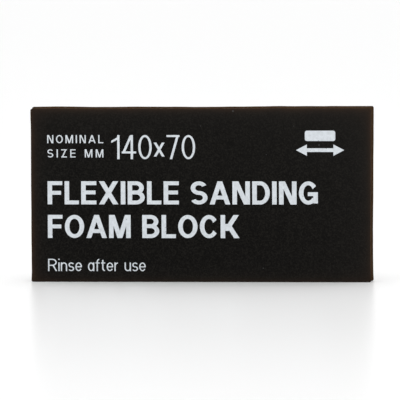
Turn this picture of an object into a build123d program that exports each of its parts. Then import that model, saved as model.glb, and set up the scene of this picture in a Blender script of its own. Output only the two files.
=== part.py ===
from build123d import *
from math import ceil, cos, hypot, radians, sin
import os

# A hand sanding block: a slab of closed-cell rubber sponge with a dense moulded skin on each
# broad face and a one-colour print on the front skin. It stands on a long edge.
# X runs along the block, Y through it (the printed face looks toward -Y), Z is up.
# The origin is under the middle of the block, on the surface it stands on. Millimetres.

# The block
length = 138.5
height = 70.6
thickness = 9.5          # over both skins
skin = 0.6               # dense skin on each broad face
corner_radius = 1.0      # the die's corners
rim_radius = 0.2         # each skin rolls over at the die cut
edge_dish = 0.25         # how far the cut sponge draws in between the skins
edge_land = 0.4          # straight band of sponge beside each skin
squeeze_share = 0.25     # the part of the sponge's depth that a hard press takes up

# The print, drawn for one size of face and scaled to the face as a whole
ink = 0.08               # depth of the ink film
artwork_length = 138.5
artwork_height = 70.6
left_margin = 6.8
bar_share = 0.84         # how thick level strokes are beside upright ones
label_cap = 3.3          # cap height, stroke width and gap between letters, size by size
label_stroke = 0.48
label_gap = 1.1
number_cap = 9.8
number_stroke = 0.95
number_gap = 0.88
title_cap = 9.4
title_stroke = 1.86
title_gap = 0.95
note_cap = 5.0
note_stroke = 0.52
note_gap = 0.48
upper_label_base = 56.5  # baselines above the foot of the face
lower_label_base = 50.7
number_base = 50.0
upper_title_base = 31.6
lower_title_base = 17.9
note_base = 4.4
number_indent = 3.3      # from the end of the label to the number
symbol_left = 108.3
symbol_base = 51.4
symbol_width = 19.6
symbol_height = 10.2
symbol_block_width = 12.4
symbol_block_height = 4.2
symbol_block_radius = 0.9
symbol_arrow_height = 4.6
symbol_arrow_head = 4.4
symbol_arrow_shaft = 1.5

core_depth = thickness - 2 * skin
squeeze_travel = squeeze_share * core_depth
print_scale = min(length / artwork_length, height / artwork_height)

# Letterforms as strokes. Each has its width as a share of the cap height, then its strokes on a
# grid that is 0 to 1 wide and 0 to 1 high between the middles of the outer strokes:
# four numbers are a straight stroke from one point to another, and six are a bowl, given as its
# centre, its two radii, the angle where it starts and the angle that it turns through.
letterforms = {
    " ": (0.30, []),
    "A": (0.88, [(0, 0, 0.5, 1), (1, 0, 0.5, 1), (0.25, 0.26, 0.75, 0.26)]),
    "B": (0.74, [(0, 0, 0, 1), (0, 1, 0.4, 1), (0, 0.52, 0.4, 0.52), (0, 0, 0.4, 0),
                 (0.48, 0.76, 0.45, 0.24, -90, 180), (0.48, 0.26, 0.52, 0.26, -90, 180)]),
    "C": (0.80, [(0.5, 0.5, 0.5, 0.5, 42, 276)]),
    "D": (0.76, [(0, 0, 0, 1), (0, 1, 0.35, 1), (0, 0, 0.35, 0), (0.43, 0.5, 0.57, 0.5, -90, 180)]),
    "E": (0.66, [(0, 0, 0, 1), (0, 1, 1, 1), (0, 0.52, 0.92, 0.52), (0, 0, 1, 0)]),
    "F": (0.64, [(0, 0, 0, 1), (0, 1, 1, 1), (0, 0.5, 0.88, 0.5)]),
    "G": (0.82, [(0.5, 0.5, 0.5, 0.5, 42, 268), (0.62, 0.44, 1, 0.44), (1, 0.06, 1, 0.44)]),
    "I": (0.00, [(0, 0, 0, 1)]),
    "K": (0.80, [(0, 0, 0, 1), (0.22, 0.38, 0.96, 1), (0.34, 0.54, 1, 0)]),
    "L": (0.62, [(0, 0, 0, 1), (0, 0, 1, 0)]),
    "M": (0.94, [(0, 0, 0, 1), (1, 0, 1, 1), (0.06, 1, 0.5, 0), (0.94, 1, 0.5, 0)]),
    "N": (0.76, [(0, 0, 0, 1), (1, 0, 1, 1), (0.1, 1, 0.9, 0)]),
    "O": (0.84, [(0.5, 0.5, 0.5, 0.5, 0, 360)]),
    "R": (0.74, [(0, 0, 0, 1), (0, 1, 0.4, 1), (0, 0.47, 0.4, 0.47),
                 (0.46, 0.735, 0.48, 0.265, -90, 180), (0.52, 0.47, 0.98, 0)]),
    "S": (0.74, [(0.5, 0.75, 0.47, 0.25, 22, 248), (0.5, 0.25, 0.5, 0.25, 202, 248)]),
    "X": (0.86, [(0.04, 0, 0.96, 1), (0.96, 0, 0.04, 1)]),
    "Z": (0.70, [(0, 1, 1, 1), (0.08, 0, 0.92, 1), (0, 0, 1, 0)]),
    "0": (0.56, [(0.5, 0.5, 0.5, 0.5, 0, 360)]),
    "1": (0.34, [(1, 0, 1, 1), (0, 0.74, 0.9, 0.93)]),
    "4": (0.60, [(0.74, 0, 0.74, 1), (0, 0.26, 1, 0.26), (0.04, 0.28, 0.68, 0.98)]),
    "7": (0.54, [(0, 1, 1, 1), (0.3, 0, 0.94, 0.98)]),
    "x": (0.44, [(0, 0.12, 1, 0.66), (1, 0.12, 0, 0.66)]),
    "a": (0.52, [(0.5, 0.34, 0.5, 0.34, 0, 360), (1, 0, 1, 0.68)]),
    "e": (0.54, [(0.5, 0.34, 0.5, 0.34, 0, 318), (0.04, 0.34, 0.96, 0.34)]),
    "f": (0.36, [(0.36, 0, 0.36, 0.74), (1, 0.76, 0.64, 0.24, 90, 90), (0, 0.68, 0.9, 0.68)]),
    "i": (0.00, [(0, 0, 0, 0.68), (0, 1, 0, 1)]),
    "n": (0.52, [(0, 0, 0, 0.68), (0.5, 0.42, 0.5, 0.26, 0, 180), (1, 0, 1, 0.38)]),
    "r": (0.34, [(0, 0, 0, 0.68), (1, 0.38, 1, 0.3, 90, 90)]),
    "s": (0.48, [(0.5, 0.51, 0.46, 0.17, 22, 248), (0.5, 0.17, 0.5, 0.17, 202, 248)]),
    "t": (0.36, [(0.36, 0.22, 0.36, 0.9), (1, 0.24, 0.64, 0.24, 180, 90), (0, 0.68, 0.9, 0.68)]),
    "u": (0.52, [(0, 0.3, 0, 0.68), (0.5, 0.26, 0.5, 0.26, 180, 180), (1, 0, 1, 0.68)]),
}


def face_plane(y):
    # a plane across the block at y, seen from the front: local x is +X, local y is +Z
    return Plane(origin=(0, y, 0), x_dir=(1, 0, 0), z_dir=(0, -1, 0))


def outline():
    return Pos(0, height / 2) * RectangleRounded(length, height, corner_radius)


def make_core():
    slab = extrude(face_plane(core_depth / 2) * outline(), core_depth)
    path = (face_plane(0) * outline()).face().outer_wire()
    reach = core_depth / 2 - edge_land
    lens = make_face([
        ThreePointArc((-reach, 0), (0, edge_dish), (reach, 0)),
        ThreePointArc((reach, 0), (0, -edge_dish), (-reach, 0)),
    ])
    start = Plane(origin=path @ 0, x_dir=(0, 1, 0), z_dir=path % 0)
    return slab - sweep(start * lens, path=path)


def make_skin(side):
    # side is -1 for the front skin and 1 for the rear one
    rear_y = side * thickness / 2 if side > 0 else -core_depth / 2
    plate = extrude(face_plane(rear_y) * outline(), skin)
    outer_face = plate.faces().sort_by(Axis.Y)[0 if side < 0 else -1]
    return fillet(outer_face.outer_wire().edges(), rim_radius)


def straight_stroke(x0, y0, x1, y1, stroke, bar):
    # a steep or upright stroke is cut level at its ends, and a shallow or level one plumb;
    # either way it runs on by half of a crossing stroke at both ends
    steep = abs(y1 - y0) >= abs(x1 - x0)
    along, across = (y1 - y0, x1 - x0) if steep else (x1 - x0, y1 - y0)
    width, crossing = (stroke, bar) if steep else (bar, stroke)
    run_on = crossing / 2 if along >= 0 else -crossing / 2
    half = width / 2 * hypot(along + 2 * run_on, across) / abs(along + 2 * run_on)
    if steep:
        corners = [(x0 - half, y0 - run_on), (x0 + half, y0 - run_on),
                   (x1 + half, y1 + run_on), (x1 - half, y1 + run_on)]
    else:
        corners = [(x0 - run_on, y0 - half), (x1 + run_on, y1 - half),
                   (x1 + run_on, y1 + half), (x0 - run_on, y0 + half)]
    return make_face(Polyline(*corners, close=True))


def bowl_stroke(x, y, x_radius, y_radius, start, turn, stroke, bar):
    outer = Ellipse(x_radius + stroke / 2, y_radius + bar / 2)
    ring = outer - Ellipse(x_radius - stroke / 2, y_radius - bar / 2)
    if turn < 360:
        reach = 2 * (x_radius + y_radius + stroke)
        steps = ceil(turn / 60)
        angles = [radians(start + turn * i / steps) for i in range(steps + 1)]
        wedge = [(0, 0)] + [(reach * cos(a), reach * sin(a)) for a in angles]
        ring = ring & make_face(Polyline(*wedge, close=True))
    return Pos(x, y) * ring


def letter_width(letter, cap, stroke):
    share, strokes = letterforms[letter]
    return max(share * cap, stroke) if strokes else share * cap


def letter_sketch(letter, cap, stroke):
    bar = bar_share * stroke
    across = letter_width(letter, cap, stroke) - stroke
    up = cap - bar
    shapes = []
    for s in letterforms[letter][1]:
        x, y = stroke / 2 + s[0] * across, bar / 2 + s[1] * up
        if len(s) == 4:
            x1, y1 = stroke / 2 + s[2] * across, bar / 2 + s[3] * up
            shapes.append(straight_stroke(x, y, x1, y1, stroke, bar))
        else:
            shapes.append(bowl_stroke(x, y, s[2] * across, s[3] * up, s[4], s[5], stroke, bar))
    return Sketch() + shapes


def print_solids(sketch, left, base):
    # lays a drawing on the front face, from its left edge and its foot, as a film of ink
    corner = Pos(-length / 2, 0) * Pos(left * print_scale, base * print_scale)
    drawing = corner * scale(sketch, by=print_scale)
    return extrude(face_plane(-thickness / 2) * drawing, ink).solids()


def line_width(text, cap, stroke, gap):
    return sum(letter_width(c, cap, stroke) for c in text) + gap * (len(text) - 1)


def gap_to_fill(width, text, cap, stroke):
    return (width - line_width(text, cap, stroke, 0)) / (len(text) - 1)


def print_line(text, left, base, cap, stroke, gap):
    solids = []
    for letter in text:
        if letterforms[letter][1]:
            solids += print_solids(letter_sketch(letter, cap, stroke), left, base)
        left += letter_width(letter, cap, stroke) + gap
    return solids


def make_symbol():
    # a block over a two-way arrow: rub to and fro
    half = symbol_width / 2
    block_y = symbol_height - symbol_block_height / 2
    block = Pos(half, block_y) * RectangleRounded(
        symbol_block_width, symbol_block_height, symbol_block_radius)
    arrow_y = symbol_arrow_height / 2
    tips = [
        (0, arrow_y),
        (symbol_arrow_head, 0),
        (symbol_arrow_head, arrow_y - symbol_arrow_shaft / 2),
        (half, arrow_y - symbol_arrow_shaft / 2),
    ]
    right = [(symbol_width - x, y) for x, y in reversed(tips[:-1])]
    lower = tips[:-1] + right
    upper = [(x, symbol_arrow_height - y) for x, y in reversed(lower[1:-1])]
    arrow = make_face(Polyline(*lower, *upper, close=True))
    return [s for shape in (block, arrow) for s in print_solids(shape, symbol_left, symbol_base)]


def make_label():
    # two lines of small capitals, the lower one spaced out to end under the upper one
    upper, lower = "NOMINAL", "SIZE MM"
    width = line_width(upper, label_cap, label_stroke, label_gap)
    lower_gap = gap_to_fill(width, lower, label_cap, label_stroke)
    rows = [(upper, upper_label_base, label_gap), (lower, lower_label_base, lower_gap)]
    solids = []
    for text, base, gap in rows:
        solids += print_line(text, left_margin, base, label_cap, label_stroke, gap)
    return solids, left_margin + width


def make_title(text, base):
    return print_line(text, left_margin, base, title_cap, title_stroke, title_gap)


label, label_end = make_label()
number_style = (number_cap, number_stroke, number_gap)
note_style = (note_cap, note_stroke, note_gap)
nodes = {
    "sponge_core": [make_core()],
    "front_skin": [make_skin(-1)],
    "rear_skin": [make_skin(1)],
    "size_label": label,
    "size_number": print_line("140x70", label_end + number_indent, number_base, *number_style),
    "rub_symbol": make_symbol(),
    "upper_title": make_title("FLEXIBLE SANDING", upper_title_base),
    "lower_title": make_title("FOAM BLOCK", lower_title_base),
    "care_note": print_line("Rinse after use", left_margin, note_base, *note_style),
}

os.makedirs("parts", exist_ok=True)
for name, shapes in nodes.items():
    solids = [s for shape in shapes for s in shape.solids()]
    export_step(solids[0] if len(solids) == 1 else Compound(children=solids), f"parts/{name}.step")
    print(name, len(solids), "solids")
print("squeeze travel", round(squeeze_travel, 3), "mm")
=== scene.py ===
import bmesh
import bpy
import math
from mathutils import Matrix, Quaternion, Vector, noise


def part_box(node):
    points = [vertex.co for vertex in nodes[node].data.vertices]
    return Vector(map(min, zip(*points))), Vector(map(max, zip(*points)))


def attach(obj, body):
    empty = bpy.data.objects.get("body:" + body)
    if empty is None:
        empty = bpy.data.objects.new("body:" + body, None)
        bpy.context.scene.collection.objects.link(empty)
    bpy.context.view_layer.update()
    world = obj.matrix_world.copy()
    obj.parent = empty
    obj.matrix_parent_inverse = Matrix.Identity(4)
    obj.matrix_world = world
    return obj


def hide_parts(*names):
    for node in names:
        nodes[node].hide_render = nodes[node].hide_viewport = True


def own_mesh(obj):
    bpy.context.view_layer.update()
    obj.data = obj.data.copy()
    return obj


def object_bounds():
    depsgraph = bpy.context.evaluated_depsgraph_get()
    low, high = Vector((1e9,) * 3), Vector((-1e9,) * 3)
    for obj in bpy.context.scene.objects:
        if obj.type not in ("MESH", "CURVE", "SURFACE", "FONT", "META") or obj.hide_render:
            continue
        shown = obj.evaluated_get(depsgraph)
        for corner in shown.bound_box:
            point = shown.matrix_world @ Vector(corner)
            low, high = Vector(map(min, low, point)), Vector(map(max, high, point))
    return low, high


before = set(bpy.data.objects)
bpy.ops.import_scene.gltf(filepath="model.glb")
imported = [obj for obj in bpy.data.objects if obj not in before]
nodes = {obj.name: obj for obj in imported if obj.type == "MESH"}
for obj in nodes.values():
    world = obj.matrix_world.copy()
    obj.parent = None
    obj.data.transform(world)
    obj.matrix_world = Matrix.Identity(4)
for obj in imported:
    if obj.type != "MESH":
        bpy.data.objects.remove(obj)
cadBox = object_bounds()
mm = 0.001
tiny = 0.01 * mm  # nearer than this counts as the same place
print("frame loaded:", len(nodes), "nodes")

coreLow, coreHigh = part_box("sponge_core")
frontLow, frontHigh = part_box("front_skin")
rearLow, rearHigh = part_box("rear_skin")
blockHeight = coreHigh.z
halfLength = coreHigh.x
blockDepth = rearHigh.y - frontLow.y
coreDepth = coreHigh.y - coreLow.y

# how the die left the outline: a slow wave, one end a little out of square, a foot that spreads
cutEdge = {"cornerRadius": 0.75 * mm, "wave": 0.32 * mm, "waveLength": 19 * mm, "endWaveShare": 0.6,
           "rippleShare": 0.35, "rippleTurns": 2.7, "topLane": 8.3, "endLane": 3.1, "seed": 2.3,
           "lean": 0.28 * mm, "endFlare": 0.36 * mm, "topFlare": 0.3 * mm, "topRise": 0.16 * mm,
           "fadeDepth": 9 * mm, "footSpread": 0.28 * mm, "footHeight": 2.2 * mm}


def fade(distance, depth):
    # 1 at the rim, easing to 0 at this depth
    t = min(max(distance / depth, 0.0), 1.0)
    return 1 - t * t * (3 - 2 * t)


def slowWave(along, lane):
    # a slow wave with a small ripple on it; each lane has its own
    place = Vector((along / cutEdge["waveLength"], lane, cutEdge["seed"]))
    ripple = noise.noise(place * cutEdge["rippleTurns"])
    return noise.noise(place) + cutEdge["rippleShare"] * ripple


def cutShift(x, y, z):
    # how far the cut outline leaves the true one at a place; the foot stays level
    side = 1 if x > 0 else -1
    back = (y - frontLow.y) / blockDepth
    nearEnd = fade(halfLength - abs(x), cutEdge["fadeDepth"])
    nearTop = fade(blockHeight - z, cutEdge["fadeDepth"])
    endWave = cutEdge["wave"] * cutEdge["endWaveShare"] * slowWave(z, side * cutEdge["endLane"])
    outward = endWave + cutEdge["endFlare"] * back
    outward += cutEdge["footSpread"] * math.exp(-z / cutEdge["footHeight"])
    if side > 0:
        outward += cutEdge["lean"] * (2 * z / blockHeight - 1)
    up = cutEdge["wave"] * slowWave(x, cutEdge["topLane"]) + cutEdge["topFlare"] * back
    up += cutEdge["topRise"] * x / halfLength
    return Vector((side * outward * nearEnd, 0, up * nearTop))


# the broad faces: rims drawn back by the cut, and a very slight unevenness between them
broadFace = {"rimDrop": 0.13 * mm, "rimDropDepth": 1.3 * mm, "rimRadius": 0.22 * mm, "rimSteps": 3,
             "swell": 0.05 * mm, "swellLength": 30 * mm, "flatRim": 6 * mm,
             "gridPitch": 2 * mm, "cornerSteps": 6, "smoothAngle": 60}


def swellAt(x, z):
    # how far a broad face stands out at a place
    place = Vector((x, 0, z)) / broadFace["swellLength"]
    rim = min(halfLength - abs(x), z, blockHeight - z)
    drop = broadFace["rimDrop"] * math.exp(-max(rim, 0) / broadFace["rimDropDepth"])
    return broadFace["swell"] * noise.noise(place) * (1 - fade(rim, broadFace["flatRim"])) - drop


def outlineFace(bm, low, high, y, cornerSteps):
    # a rectangle across the block with rounded corners, facing the front
    across, up = high.x - low.x, high.z - low.z
    corners = bmesh.ops.create_grid(bm, x_segments=1, y_segments=1, size=0.5)["verts"]
    stand = Matrix.Rotation(math.radians(90), 4, "X")
    size = Matrix.Diagonal((across, up, 1, 1))
    place = Matrix.Translation(((low.x + high.x) / 2, y, (low.z + high.z) / 2))
    bmesh.ops.transform(bm, matrix=place @ stand @ size, verts=corners)
    bmesh.ops.bevel(bm, geom=corners, offset=cutEdge["cornerRadius"], segments=cornerSteps,
                    profile=0.5, affect="VERTICES", material=-1)


def cutLongEdges(bm, step):
    # edges much longer than a step are cut into steps
    for edge in [e for e in bm.edges if e.calc_length() > 1.5 * step]:
        cuts = round(edge.calc_length() / step) - 1
        bmesh.ops.subdivide_edges(bm, edges=[edge], cuts=cuts)


def extrudeBack(bm, depth):
    # every face gets this depth, away from the front
    made = bmesh.ops.extrude_face_region(bm, geom=bm.faces[:])["geom"]
    verts = [g for g in made if isinstance(g, bmesh.types.BMVert)]
    bmesh.ops.translate(bm, verts=verts, vec=(0, depth, 0))


def makePiece(node, bm, material, body):
    # the finished piece stands for one CAD node, and takes its name
    words = node.split("_")
    name = words[0] + "".join(w.capitalize() for w in words[1:])
    mesh = bpy.data.meshes.new(name)
    bm.to_mesh(mesh)
    bm.free()
    mesh.materials.append(material)
    piece = bpy.data.objects.new(name, mesh)
    bpy.context.scene.collection.objects.link(piece)
    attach(piece, body)
    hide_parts(node)
    print("made", name, len(mesh.polygons), "faces")
    return piece


def smoothShade(piece, angle):
    piece.data.shade_smooth()
    piece.data.set_sharp_from_angle(angle=math.radians(angle))


# small helpers for node trees: a value is another node's output, or a plain number or colour
def feed(tree, socket, value):
    if isinstance(value, bpy.types.NodeSocket):
        tree.links.new(value, socket)
    else:
        socket.default_value = value


def mathNode(tree, operation, first, second=None, clamp=False):
    node = tree.nodes.new("ShaderNodeMath")
    node.operation = operation
    node.use_clamp = clamp
    feed(tree, node.inputs[0], first)
    if second is not None:
        feed(tree, node.inputs[1], second)
    return node.outputs[0]


def mixFloat(tree, factor, first, second):
    node = tree.nodes.new("ShaderNodeMix")
    feed(tree, node.inputs[0], factor)
    feed(tree, node.inputs[2], first)
    feed(tree, node.inputs[3], second)
    return node.outputs[0]


def mixColour(tree, factor, first, second):
    node = tree.nodes.new("ShaderNodeMix")
    node.data_type = "RGBA"
    feed(tree, node.inputs[0], factor)
    feed(tree, node.inputs[6], first)
    feed(tree, node.inputs[7], second)
    return node.outputs[2]


def splitPlace(tree, place):
    split = tree.nodes.new("ShaderNodeSeparateXYZ")
    tree.links.new(place, split.inputs[0])
    return split.outputs["X"], split.outputs["Z"]


def newGroup(name, inputs):
    # a group that reads a place and some values, and puts out a mask
    group = bpy.data.node_groups.new(name, "ShaderNodeTree")
    group.interface.new_socket(name="Vector", in_out="INPUT", socket_type="NodeSocketVector")
    for label, value in inputs.items():
        socket = group.interface.new_socket(name=label, in_out="INPUT", socket_type="NodeSocketFloat")
        socket.default_value = value
    group.interface.new_socket(name="Mask", in_out="OUTPUT", socket_type="NodeSocketFloat")
    entry = group.nodes.new("NodeGroupInput").outputs
    return group, entry, group.nodes.new("NodeGroupOutput").inputs["Mask"]


def makeMottleGroup():
    # soft uneven patches, 0 to 1, of about the given size
    group, entry, mask = newGroup("softMottle", {"Size": 1 * mm, "Detail": 3.0, "Contrast": 1.0})
    cloud = group.nodes.new("ShaderNodeTexNoise")
    feed(group, cloud.inputs["Vector"], entry["Vector"])
    feed(group, cloud.inputs["Scale"], mathNode(group, "DIVIDE", 1.0, entry["Size"]))
    feed(group, cloud.inputs["Detail"], entry["Detail"])
    centred = mathNode(group, "SUBTRACT", cloud.outputs[0], 0.5)
    stretched = mathNode(group, "MULTIPLY", centred, entry["Contrast"])
    feed(group, mask, mathNode(group, "ADD", stretched, 0.5, clamp=True))
    return group


def makeSpotGroup(name, flat):
    # round spots, 1 in a spot and 0 outside; Share of the cells hold one; flat ones lie across a face
    group, entry, mask = newGroup(name, {"Spacing": 2 * mm, "Radius": 0.3, "Softness": 0.1, "Share": 0.5})
    cells = group.nodes.new("ShaderNodeTexVoronoi")
    place = entry["Vector"]
    if flat:
        cells.voronoi_dimensions = "2D"
        across, up = splitPlace(group, place)
        join = group.nodes.new("ShaderNodeCombineXYZ")
        feed(group, join.inputs["X"], across)
        feed(group, join.inputs["Y"], up)
        place = join.outputs[0]
    feed(group, cells.inputs["Vector"], place)
    feed(group, cells.inputs["Scale"], mathNode(group, "DIVIDE", 1.0, entry["Spacing"]))
    draw = group.nodes.new("ShaderNodeSeparateColor")
    feed(group, draw.inputs[0], cells.outputs["Color"])
    size = mathNode(group, "ADD", draw.outputs[1], 0.4)  # each spot is 0.4 to 1.4 of Radius
    radius = mathNode(group, "MULTIPLY", entry["Radius"], size)
    inside = mathNode(group, "SUBTRACT", radius, cells.outputs["Distance"])
    edge = mathNode(group, "DIVIDE", inside, entry["Softness"], clamp=True)
    chosen = mathNode(group, "LESS_THAN", draw.outputs[0], entry["Share"])
    feed(group, mask, mathNode(group, "MULTIPLY", edge, chosen))
    return group


def makeRimGroup():
    # used both for the skin's rim wear and for its painted light at the rims
    # 1 at the rim of a broad face, dying away inward over Reach, and more at the corners;
    # the foot and the right-hand end are spared a little, and the top less
    group, entry, mask = newGroup("rimWear", {"HalfLength": 70 * mm, "Height": 70 * mm,
                                              "Spared": 0.0, "Reach": 1 * mm})
    topSpared, leastDistance = 0.4, 0.02 * mm
    across, up = splitPlace(group, entry["Vector"])
    fromLeft = mathNode(group, "ADD", entry["HalfLength"], across)
    fromRight = mathNode(group, "SUBTRACT", entry["HalfLength"], across)
    fromRight = mathNode(group, "ADD", fromRight, entry["Spared"])
    fromTop = mathNode(group, "SUBTRACT", entry["Height"], up)
    fromTop = mathNode(group, "ADD", fromTop, mathNode(group, "MULTIPLY", entry["Spared"], topSpared))
    fromFoot = mathNode(group, "ADD", up, entry["Spared"])
    nearness = 0.0
    for distance in (fromLeft, fromRight, fromTop, fromFoot):
        kept = mathNode(group, "MAXIMUM", distance, leastDistance)
        nearness = mathNode(group, "ADD", mathNode(group, "DIVIDE", 1.0, kept), nearness)
    steps = mathNode(group, "DIVIDE", -1.0, mathNode(group, "MULTIPLY", nearness, entry["Reach"]))
    feed(group, mask, mathNode(group, "EXPONENT", steps, clamp=True))
    return group


mottleGroup = makeMottleGroup()
rimWearAndLightGroup = makeRimGroup()
cellGroup = makeSpotGroup("openCells", False)
speckGroup = makeSpotGroup("faceSpecks", True)


def startMaterial(name, finish):
    material = bpy.data.materials.new(name)
    material.use_nodes = True
    shader = material.node_tree.nodes["Principled BSDF"]
    shader.inputs["Roughness"].default_value = finish["roughness"]
    shader.inputs["Specular IOR Level"].default_value = finish["specular"]
    return material, material.node_tree, shader


def objectPlace(tree):
    return tree.nodes.new("ShaderNodeTexCoord").outputs["Object"]


def useGroup(tree, group, vector, values):
    node = tree.nodes.new("ShaderNodeGroup")
    node.node_tree = group
    feed(tree, node.inputs["Vector"], vector)
    for label, value in values.items():
        node.inputs[label].default_value = value
    return node.outputs["Mask"]


def addBump(tree, shader, height, depth, strength, under=None):
    bump = tree.nodes.new("ShaderNodeBump")
    bump.inputs["Strength"].default_value = strength
    bump.inputs["Distance"].default_value = depth
    feed(tree, bump.inputs["Height"], height)
    if under is not None:
        feed(tree, bump.inputs["Normal"], under)
    feed(tree, shader.inputs["Normal"], bump.outputs[0])
    return bump.outputs[0]


# painted light: the face is painted a little paler toward the top and the right-hand end, and paler near
# its rims
skinFinish = {"dark": (0.0003, 0.0003, 0.0002, 1), "light": (0.0112, 0.0104, 0.0090, 1),
              "dust": (0.06, 0.06, 0.06, 1), "worn": (0.040, 0.0215, 0.0125, 1),
              "pale": (0.0150, 0.0138, 0.0122, 1),
              "roughness": 0.64, "grainRoughness": 0.80, "specular": 0.05,
              "patches": {"Size": 7 * mm, "Detail": 2, "Contrast": 1.6}, "patchShare": 0.15,
              "grain": {"Size": 1.0 * mm, "Detail": 4, "Contrast": 5.5}, "betweenGrains": 0.35,
              "fineGrain": {"Size": 0.5 * mm, "Detail": 2, "Contrast": 6.5},
              "specks": {"Spacing": 12 * mm, "Radius": 0.026, "Softness": 0.014, "Share": 0.28},
              "wornRim": {"Reach": 0.9 * mm, "Spared": 0.7 * mm}, "wornLeast": 0.55, "wornMost": 1.15,
              "paintedRimLight": {"Reach": 4.5 * mm}, "paintedRimLightShare": 0.4,
              "paintedSlopeShare": 0.28, "paintedSlopeStart": 0.25, "paintedSlopeAcross": 0.25, "paintedSlopeUp": 0.5,
              "fineDepth": 0.03 * mm, "fineStrength": 0.5, "grainDepth": 0.05 * mm, "grainStrength": 0.35}


def makeSkinMaterial():
    look = skinFinish
    material, tree, shader = startMaterial("mouldedRubberSkin", look)
    where = objectPlace(tree)
    patches = useGroup(tree, mottleGroup, where, look["patches"])
    grain = useGroup(tree, mottleGroup, where, look["grain"])
    fine = useGroup(tree, mottleGroup, where, look["fineGrain"])
    texture = mathNode(tree, "MULTIPLY", fine, mixFloat(tree, grain, look["betweenGrains"], 1.0))
    shade = mixFloat(tree, look["patchShare"], texture, patches)
    rims = {"HalfLength": halfLength, "Height": blockHeight}
    worn = useGroup(tree, rimWearAndLightGroup, where, {**rims, **look["wornRim"]})
    # painted light: the face is painted paler near its rims
    pale = useGroup(tree, rimWearAndLightGroup, where, {**rims, **look["paintedRimLight"]})
    # painted light: the face is painted paler toward the top and the right-hand end
    across, up = splitPlace(tree, where)
    paintedSlopeLight = mathNode(tree, "ADD", mathNode(tree, "MULTIPLY", across, look["paintedSlopeAcross"] / halfLength),
                       mathNode(tree, "MULTIPLY", up, look["paintedSlopeUp"] / blockHeight))
    paintedSlopeLight = mathNode(tree, "ADD", paintedSlopeLight, look["paintedSlopeStart"], clamp=True)
    # painted light: the rim and slope painted light together
    paintedLightMask = mathNode(tree, "ADD", mathNode(tree, "MULTIPLY", pale, look["paintedRimLightShare"]),
                    mathNode(tree, "MULTIPLY", paintedSlopeLight, look["paintedSlopeShare"]))
    wornSpread = mixFloat(tree, patches, look["wornLeast"], look["wornMost"])
    unevenWorn = mathNode(tree, "MULTIPLY", worn, wornSpread, clamp=True)
    colour = mixColour(tree, shade, look["dark"], look["light"])
    # painted light mixed into the skin's colour
    colour = mixColour(tree, paintedLightMask, colour, look["pale"])
    colour = mixColour(tree, unevenWorn, colour, look["worn"])
    dust = useGroup(tree, speckGroup, where, look["specks"])
    feed(tree, shader.inputs["Base Color"], mixColour(tree, dust, colour, look["dust"]))
    feed(tree, shader.inputs["Roughness"], mixFloat(tree, grain, look["roughness"], look["grainRoughness"]))
    under = addBump(tree, shader, fine, look["fineDepth"], look["fineStrength"])
    addBump(tree, shader, grain, look["grainDepth"], look["grainStrength"], under)
    return material


# cell is the painted shade at the bottoms of cut-open cells
foamFinish = {"wall": (0.047, 0.0220, 0.0064, 1), "shadedWall": (0.03384, 0.01584, 0.004608, 1),
              "cell": (0.0062, 0.0032, 0.0014, 1), "roughness": 0.95, "specular": 0.04,
              "fineCells": {"Spacing": 0.62 * mm, "Radius": 0.42, "Softness": 0.22, "Share": 0.75},
              "fineCellShade": 0.7, "tone": {"Size": 5 * mm, "Detail": 4, "Contrast": 1.8},
              "cellDepth": 0.12 * mm, "cellStrength": 0.7}


def makeFoamMaterial():
    look = foamFinish
    material, tree, shader = startMaterial("cutSponge", look)
    where = objectPlace(tree)
    fineCells = useGroup(tree, cellGroup, where, look["fineCells"])
    tone = useGroup(tree, mottleGroup, where, look["tone"])
    # painted shade: cut-open cells are painted dark toward their bottoms, fine ones from the cell mask and
    # bigger ones from the stored pit darkness
    pits = tree.nodes.new("ShaderNodeAttribute")
    pits.attribute_name = "pitDepth"
    fineShade = mathNode(tree, "MULTIPLY", fineCells, look["fineCellShade"])
    shade = mathNode(tree, "MAXIMUM", fineShade, pits.outputs["Fac"])
    wall = mixColour(tree, tone, look["shadedWall"], look["wall"])
    feed(tree, shader.inputs["Base Color"], mixColour(tree, shade, wall, look["cell"]))
    walls = mathNode(tree, "SUBTRACT", 1.0, fineCells)
    addBump(tree, shader, walls, look["cellDepth"], look["cellStrength"])
    return material


inkFinish = {"ink": (0.68, 0.725, 0.765, 1), "thin": (0.57, 0.605, 0.635, 1),
             "roughness": 0.62, "specular": 0.2,
             "cover": {"Size": 1.1 * mm, "Detail": 3, "Contrast": 2.2},
             "pinholes": {"Spacing": 1.6 * mm, "Radius": 0.075, "Softness": 0.05, "Share": 0.14},
             "weave": {"Size": 0.25 * mm, "Detail": 2, "Contrast": 2.0},
             "weaveDepth": 0.02 * mm, "weaveStrength": 0.4}


def makeInkMaterial():
    look = inkFinish
    material, tree, shader = startMaterial("screenPrintedInk", look)
    where = objectPlace(tree)
    cover = useGroup(tree, mottleGroup, where, look["cover"])
    pinholes = useGroup(tree, speckGroup, where, look["pinholes"])
    film = mixColour(tree, cover, look["thin"], look["ink"])
    feed(tree, shader.inputs["Base Color"], mixColour(tree, pinholes, film, skinFinish["light"]))
    weave = useGroup(tree, mottleGroup, where, look["weave"])
    addBump(tree, shader, weave, look["weaveDepth"], look["weaveStrength"])
    return material


skinMaterial = makeSkinMaterial()
foamMaterial = makeFoamMaterial()
inkMaterial = makeInkMaterial()
print("materials made")

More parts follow.
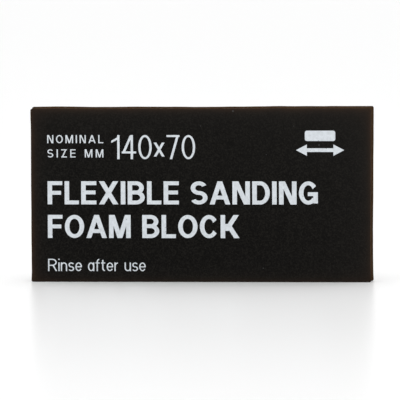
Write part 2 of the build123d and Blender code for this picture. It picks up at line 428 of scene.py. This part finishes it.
# the sponge: cut edges that draw in between the skins, with small and big cells cut open;
# a cell's reach is a share of its spacing, and its share is how many of the cells are open
sponge = {"pitch": 0.24 * mm, "rows": 33, "cornerSteps": 5, "smoothAngle": 50,
          "dish": 0.3 * mm, "setBack": 0.05 * mm, "grain": 0.06 * mm, "grainLength": 0.7 * mm,
          "cells": ({"spacing": 1.05 * mm, "reach": 0.5, "share": 0.85, "depth": 0.24 * mm,
                     "shade": 0.8, "shift": (0, 0, 0)},
                    {"spacing": 2.3 * mm, "reach": 0.36, "share": 0.4, "depth": 0.5 * mm,
                     "shade": 1.0, "shift": (0.3, 0.1, 0.7)}),
          "leastRadius": 0.65, "radiusSpread": 0.5, "drawSpread": 17.3, "deepening": 5}


def cellDepth(place, cell):
    # how deep a place lies in a cut-open cell, from 0 on a wall to 1 at its bottom
    distances, points = noise.voronoi((place + Vector(cell["shift"])) / cell["spacing"])
    draw = noise.cell(points[0] * sponge["drawSpread"])
    if draw > cell["share"]:
        return 0.0
    radius = cell["reach"] * (sponge["leastRadius"] + sponge["radiusSpread"] * draw / cell["share"])
    return max(0.0, 1 - (distances[0] / radius) ** 2)


def makeSponge():
    bm = bmesh.new()
    outlineFace(bm, coreLow, coreHigh, coreLow.y, sponge["cornerSteps"])
    cutLongEdges(bm, sponge["pitch"])
    extrudeBack(bm, coreDepth)
    ribs = [e for e in bm.edges if abs(e.verts[0].co.y - e.verts[1].co.y) > coreDepth / 2]
    bmesh.ops.subdivide_edges(bm, edges=ribs, cuts=sponge["rows"], use_grid_fill=True)
    bmesh.ops.recalc_face_normals(bm, faces=bm.faces[:])
    bm.normal_update()
    pitShadeLayer = bm.verts.layers.float.new("pitDepth")
    for v in bm.verts:
        across = (v.co.y - coreLow.y) / (coreDepth / 2) - 1  # -1 at the front skin, 1 at the rear one
        outward = Vector((v.normal.x, 0, v.normal.z)).normalized()
        place = v.co.copy()
        v.co += cutShift(place.x, place.y, place.z)
        inward = sponge["setBack"] + sponge["dish"] * (1 - across ** 2)
        if abs(across) < 0.999:  # the rims against the skins stay whole
            pits = [(cell, cellDepth(place, cell)) for cell in sponge["cells"]]
            roomy = min(1.0, sponge["deepening"] * (1 - abs(across)))
            # painted shade: how dark the colour is painted in a cut-open cell
            v[pitShadeLayer] = min(1.0, max(cell["shade"] * pit for cell, pit in pits)) * roomy
            inward += sum(cell["depth"] * pit for cell, pit in pits) * roomy
            inward += sponge["grain"] * noise.noise(place / sponge["grainLength"])
        v.co -= outward * inward
        if outward.z < -0.9:  # the foot stays on the floor
            v.co.z = max(v.co.z, 0)
    piece = makePiece("sponge_core", bm, foamMaterial, "backing")
    smoothShade(piece, sponge["smoothAngle"])
    return piece


spongePiece = makeSponge()
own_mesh(spongePiece)


def makeSkin(node, low, high, outerY, body):
    # side is 1 where the outer face is the front one
    side = 1 if outerY < 0 else -1
    bm = bmesh.new()
    outlineFace(bm, low, high, low.y, broadFace["cornerSteps"])
    for axis, start, end in ((0, low.x, high.x), (2, low.z, high.z)):
        count = round((end - start) / broadFace["gridPitch"])
        for i in range(1, count):
            point, normal = [0, low.y, 0], [0, 0, 0]
            point[axis] = start + (end - start) * i / count
            normal[axis] = 1
            geom = bm.verts[:] + bm.edges[:] + bm.faces[:]
            bmesh.ops.bisect_plane(bm, geom=geom, dist=tiny, plane_co=point, plane_no=normal)
    extrudeBack(bm, high.y - low.y)
    bmesh.ops.recalc_face_normals(bm, faces=bm.faces[:])
    outer = {v for v in bm.verts if abs(v.co.y - outerY) < tiny}
    rim = [e for e in bm.edges if set(e.verts) <= outer
           and len({round(f.normal.y) for f in e.link_faces}) > 1]
    bmesh.ops.bevel(bm, geom=rim, offset=broadFace["rimRadius"], segments=broadFace["rimSteps"],
                    profile=0.5, affect="EDGES", material=-1)
    for v in bm.verts:
        depth = abs(v.co.y - outerY) / (high.y - low.y)
        v.co.y -= side * swellAt(v.co.x, v.co.z) * (1 - depth)
        v.co += cutShift(v.co.x, v.co.y, v.co.z)
    piece = makePiece(node, bm, skinMaterial, body)
    smoothShade(piece, broadFace["smoothAngle"])


makeSkin("front_skin", frontLow, frontHigh, frontLow.y, "face")
makeSkin("rear_skin", rearLow, rearHigh, rearHigh.y, "backing")

# the print: films of ink, whose bold letters close the small corners where strokes meet
printEdge = {"step": 0.45 * mm, "ragged": 0.035 * mm, "raggedLength": 0.5 * mm, "seed": 4,
             "merge": 0.002 * mm, "closedCorner": 1.6 * mm,
             "nodes": ("size_label", "size_number", "rub_symbol",
                       "upper_title", "lower_title", "care_note"),
             "boldNodes": ("upper_title", "lower_title")}
noise.seed_set(printEdge["seed"])  # the same ragged edges each run


def makePrint(node):
    # the front of the film, its edges made a little ragged, laid along the skin's swell and thickened
    bm = bmesh.new()
    bm.from_mesh(nodes[node].data)
    bmesh.ops.remove_doubles(bm, verts=bm.verts[:], dist=printEdge["merge"])
    bm.normal_update()
    bmesh.ops.delete(bm, geom=[f for f in bm.faces if f.normal.y > -0.5], context="FACES")
    bmesh.ops.dissolve_limit(bm, angle_limit=math.radians(1), verts=bm.verts[:], edges=bm.edges[:])
    if node in printEdge["boldNodes"]:
        corners = [e for e in bm.edges if e.is_boundary and e.calc_length() < printEdge["closedCorner"]]
        bmesh.ops.holes_fill(bm, edges=corners, sides=3)
    cutLongEdges(bm, printEdge["step"])
    for v in bm.verts:
        place = Vector((v.co.x, 0, v.co.z)) / printEdge["raggedLength"]
        jitter = noise.noise_vector(place) * printEdge["ragged"]
        v.co.y -= swellAt(v.co.x, v.co.z)
        v.co += Vector((jitter.x, 0, jitter.z))
    low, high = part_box(node)
    extrudeBack(bm, high.y - low.y)
    bmesh.ops.recalc_face_normals(bm, faces=bm.faces[:])
    makePiece(node, bm, inkMaterial, "face")


for node in printEdge["nodes"]:
    makePrint(node)

# a glossy white sheet under a white sky
floorFinish = {"colour": (0.885, 0.885, 0.885, 1), "roughness": 0.3, "specular": 0.1, "size": 12.0}


def makeFloor():
    bm = bmesh.new()
    bmesh.ops.create_grid(bm, x_segments=1, y_segments=1, size=floorFinish["size"] / 2)
    mesh = bpy.data.meshes.new("floor")
    bm.to_mesh(mesh)
    bm.free()
    material, _, shader = startMaterial("glossyWhiteSheet", floorFinish)
    shader.inputs["Base Color"].default_value = floorFinish["colour"]
    mesh.materials.append(material)
    floor = bpy.data.objects.new("floor", mesh)
    bpy.context.scene.collection.objects.link(floor)


studio = {"sky": (1, 1, 1, 1), "skyStrength": 1.07,
          "topPower": 2.9, "topSize": 1.3, "topHeight": 1.0, "topForward": -0.2}


def makeStudio():
    world = bpy.data.worlds.new("studio")
    world.use_nodes = True
    background = world.node_tree.nodes["Background"]
    background.inputs["Color"].default_value = studio["sky"]
    background.inputs["Strength"].default_value = studio["skyStrength"]
    bpy.context.scene.world = world
    lamp = bpy.data.lights.new("topBox", "AREA")
    lamp.shape = "SQUARE"
    lamp.size = studio["topSize"]
    lamp.energy = studio["topPower"]
    box = bpy.data.objects.new("topBox", lamp)
    box.location = (0, studio["topForward"], studio["topHeight"])
    aim = Vector((0, 0, blockHeight / 2)) - box.location
    box.rotation_euler = aim.to_track_quat("-Z", "Y").to_euler()
    bpy.context.scene.collection.objects.link(box)


# a long lens, a little to the right of the block and a little above it; angles in degrees
lens = {"azimuth": 6.0, "elevation": 4.0, "roll": 0.37, "distance": 4.0, "fieldWidth": 0.16247,
        "aimRight": -0.00068, "aimUp": -0.00222, "sensorWidth": 36, "nearest": 0.1, "farthest": 20}


def makeCamera():
    data = bpy.data.cameras.new("camera")
    data.sensor_width = lens["sensorWidth"]
    data.lens = lens["sensorWidth"] * lens["distance"] / lens["fieldWidth"]
    data.clip_start = lens["nearest"]
    data.clip_end = lens["farthest"]
    camera = bpy.data.objects.new("camera", data)
    azimuth, elevation = math.radians(lens["azimuth"]), math.radians(lens["elevation"])
    level = math.cos(elevation)
    back = Vector((math.sin(azimuth) * level, -math.cos(azimuth) * level, math.sin(elevation)))
    roll = Quaternion((0, 0, 1), math.radians(-lens["roll"]))
    turn = (-back).to_track_quat("-Z", "Y") @ roll
    centre = (cadBox[0] + cadBox[1]) / 2
    aim = centre + turn @ Vector((lens["aimRight"], lens["aimUp"], 0))
    camera.location = aim + back * lens["distance"]
    camera.rotation_euler = turn.to_euler()
    bpy.context.scene.collection.objects.link(camera)
    bpy.context.scene.camera = camera


makeFloor()
makeStudio()
makeCamera()
bpy.context.scene.view_settings.view_transform = "Standard"
print("stage and camera made")
